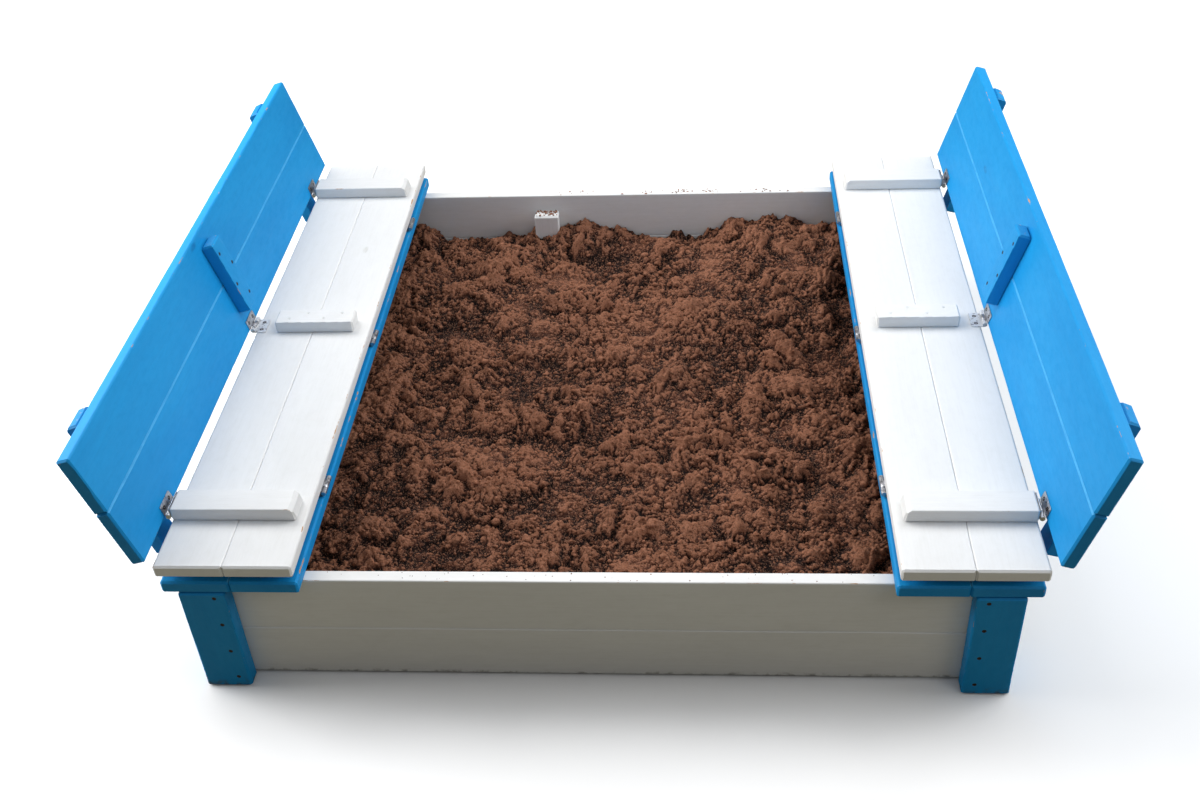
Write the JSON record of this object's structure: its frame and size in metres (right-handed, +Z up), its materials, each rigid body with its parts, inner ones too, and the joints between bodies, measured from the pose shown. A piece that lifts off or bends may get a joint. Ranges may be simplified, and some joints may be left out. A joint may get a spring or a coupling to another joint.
{
  "type": "sandpit with folding bench lid",
  "caption": "Square wooden sandpit with blue corner legs; its two-part lid is unfolded into facing white bench seats with blue backrests, over dark sand.",
  "frame": {"origin": "middle of the footprint, on the ground under the four corner legs", "axes": "+X from the left seat to the right seat, +Y to the back, +Z up"},
  "size_m": [1.467, 1.2014, 0.4486],
  "materials": {
    "white_paint": "satin",
    "blue_paint": "satin",
    "zinc": "satin",
    "sand": "matte"
  },
  "bodies": {
    "box": {"wall_front_lower": "white_paint", "wall_back_lower": "white_paint", "wall_left_lower": "white_paint", "wall_right_lower": "white_paint", "wall_front_upper": "white_paint", "wall_back_upper": "white_paint", "wall_left_upper": "white_paint", "wall_right_upper": "white_paint", "leg_front_left": "blue_paint", "leg_front_right": "blue_paint", "leg_back_left": "blue_paint", "leg_back_right": "blue_paint", "shelf_left": "blue_paint", "shelf_right": "blue_paint", "wall_back_cleat": "white_paint", "sand_fill": "sand", "seat_hinge_left_front_shelf_leaf": "zinc", "seat_hinge_left_middle_shelf_leaf": "zinc", "seat_hinge_left_back_shelf_leaf": "zinc", "seat_hinge_right_front_shelf_leaf": "zinc", "seat_hinge_right_middle_shelf_leaf": "zinc", "seat_hinge_right_back_shelf_leaf": "zinc"},
    "seat_left": {"seat_left_inner": "white_paint", "seat_left_outer": "white_paint", "seat_batten_left_front": "white_paint", "seat_hinge_left_front_seat_leaf": "zinc", "backrest_hinge_left_front_seat_leaf": "zinc", "seat_batten_left_middle": "white_paint", "seat_hinge_left_middle_seat_leaf": "zinc", "backrest_hinge_left_middle_seat_leaf": "zinc", "seat_batten_left_back": "white_paint", "seat_hinge_left_back_seat_leaf": "zinc", "backrest_hinge_left_back_seat_leaf": "zinc"},
    "backrest_left": {"backrest_hinge_left_front_back_leaf": "zinc", "backrest_batten_left_front": "blue_paint", "backrest_hinge_left_middle_back_leaf": "zinc", "backrest_batten_left_middle": "blue_paint", "backrest_hinge_left_back_back_leaf": "zinc", "backrest_batten_left_back": "blue_paint", "backrest_left_lower": "blue_paint", "backrest_left_upper": "blue_paint"},
    "seat_right": {"seat_right_inner": "white_paint", "seat_right_outer": "white_paint", "seat_batten_right_front": "white_paint", "seat_hinge_right_front_seat_leaf": "zinc", "backrest_hinge_right_front_seat_leaf": "zinc", "seat_batten_right_middle": "white_paint", "seat_hinge_right_middle_seat_leaf": "zinc", "backrest_hinge_right_middle_seat_leaf": "zinc", "seat_batten_right_back": "white_paint", "seat_hinge_right_back_seat_leaf": "zinc", "backrest_hinge_right_back_seat_leaf": "zinc"},
    "backrest_right": {"backrest_hinge_right_front_back_leaf": "zinc", "backrest_batten_right_front": "blue_paint", "backrest_hinge_right_middle_back_leaf": "zinc", "backrest_batten_right_middle": "blue_paint", "backrest_hinge_right_back_back_leaf": "zinc", "backrest_batten_right_back": "blue_paint", "backrest_right_lower": "blue_paint", "backrest_right_upper": "blue_paint"}
  },
  "joints": [
    {"name": "seat_left_fold", "type": "hinge", "parent": "box", "child": "seat_left", "pos_m": [-0.4235, 0, 0.2269], "axis": [0, 1, 0], "range_deg": [0, 180]},
    {"name": "backrest_left_fold", "type": "hinge", "parent": "seat_left", "child": "backrest_left", "pos_m": [-0.6328, 0, 0.2578], "axis": [0, -1, 0], "range_deg": [0, 73.7]},
    {"name": "seat_right_fold", "type": "hinge", "parent": "box", "child": "seat_right", "pos_m": [0.4235, 0, 0.2269], "axis": [0, -1, 0], "range_deg": [0, 180]},
    {"name": "backrest_right_fold", "type": "hinge", "parent": "seat_right", "child": "backrest_right", "pos_m": [0.6328, 0, 0.2578], "axis": [0, 1, 0], "range_deg": [0, 73.7]}
  ],
  "couplings": [
    {"joint": "backrest_left_fold", "follows": "seat_left_fold", "ratio": 0.40944},
    {"joint": "backrest_right_fold", "follows": "seat_right_fold", "ratio": 0.40944}
  ]
}
